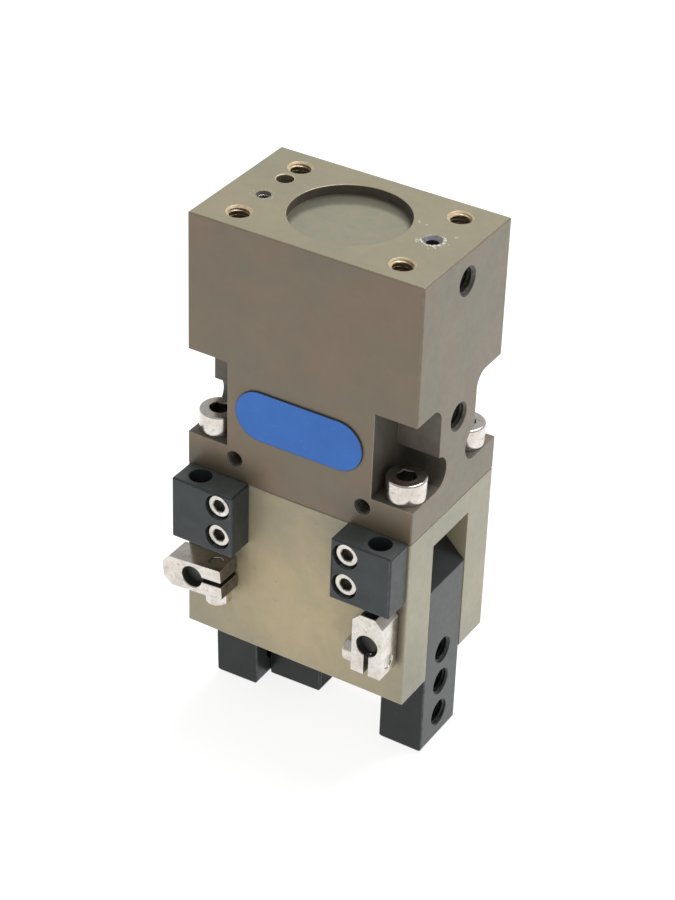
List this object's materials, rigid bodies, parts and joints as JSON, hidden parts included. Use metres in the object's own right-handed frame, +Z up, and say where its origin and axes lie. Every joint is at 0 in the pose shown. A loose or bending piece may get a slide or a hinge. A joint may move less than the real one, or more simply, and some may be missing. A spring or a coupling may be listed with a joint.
{
  "type": "two jaw angular gripper",
  "caption": "Compact pneumatic gripper whose two toothed jaws swing a quarter turn each, driven by a spring assisted piston and double rack, with switch cams and sensor brackets.",
  "frame": {"origin": "centre of the top mounting face", "axes": "+X towards the face with the air ports, +Y away from the sensor brackets, +Z up out of the mounting face; the jaws point down"},
  "size_m": [0.0457, 0.0336, 0.0985],
  "materials": {
    "brown_anodised": "hard anodised, matte brown",
    "olive_anodised": "hard anodised, matte olive grey, slightly mottled",
    "machined_aluminium": "turned",
    "black_anodised": "black anodised, satin",
    "blackened_steel": "blackened, satin",
    "black_steel": "black oxide",
    "hardened_steel": "ground, oiled",
    "ground_steel": "ground",
    "spring_steel": "plain, oiled",
    "nickel_plated": "nickel plated, lightly worn",
    "bronze": "sintered bronze",
    "seal_rubber": "matte",
    "blue_plate": "glossy blue label plate, blank"
  },
  "bodies": {
    "housing": {"cylinder_housing": "brown_anodised", "jaw_housing": "olive_anodised", "cylinder_cover": "machined_aluminium", "cover_o_ring": "seal_rubber", "cover_retaining_ring": "spring_steel", "rod_seal": "seal_rubber", "rod_guide_bush": "bronze", "closing_spring": "spring_steel", "bearing_bushes": "bronze", "shaft_retaining_rings": "spring_steel", "bottom_cover": "olive_anodised", "bottom_cover_screws": "black_steel", "housing_screws": "nickel_plated", "housing_dowels": "ground_steel", "sensor_bracket_left": "black_anodised", "sensor_bracket_right": "black_anodised", "bracket_screws": "nickel_plated", "nameplate": "blue_plate", "top_plug_screw": "ground_steel", "channel_plug": "ground_steel"},
    "piston": {"piston": "machined_aluminium", "piston_seal": "seal_rubber", "piston_guide_ring": "bronze", "piston_screw": "black_steel", "piston_rod": "ground_steel", "drive_rack": "hardened_steel", "rack_screw": "black_steel"},
    "jaw_right": {"jaw_right": "blackened_steel", "pivot_shaft_right": "ground_steel", "shaft_key_right": "ground_steel", "switch_cam_right": "nickel_plated", "cam_screw_right": "nickel_plated"},
    "jaw_left": {"jaw_left": "blackened_steel", "pivot_shaft_left": "ground_steel", "shaft_key_left": "ground_steel", "switch_cam_left": "nickel_plated", "cam_screw_left": "nickel_plated", "gripping_finger": "blackened_steel", "finger_set_screw": "black_steel", "finger_dowel": "ground_steel"}
  },
  "joints": [
    {"name": "piston_slide", "type": "slide", "parent": "housing", "child": "piston", "axis": [0, 0, -1], "range_m": [0, 0.01178], "stiffness_N_per_m": 1400, "springref_m": -0.0108, "deforming": ["closing_spring"]},
    {"name": "jaw_left_swing", "type": "hinge", "parent": "housing", "child": "jaw_left", "pos_m": [-0.0176, 0, -0.0676], "axis": [0, 1, 0], "range_deg": [0, 90]},
    {"name": "jaw_right_swing", "type": "hinge", "parent": "housing", "child": "jaw_right", "pos_m": [0.0176, 0, -0.0676], "axis": [0, -1, 0], "range_deg": [0, 90]}
  ],
  "couplings": [
    {"joint": "jaw_left_swing", "follows": "piston_slide", "rad_per_m": 133.33},
    {"joint": "jaw_right_swing", "follows": "piston_slide", "rad_per_m": 133.33}
  ]
}
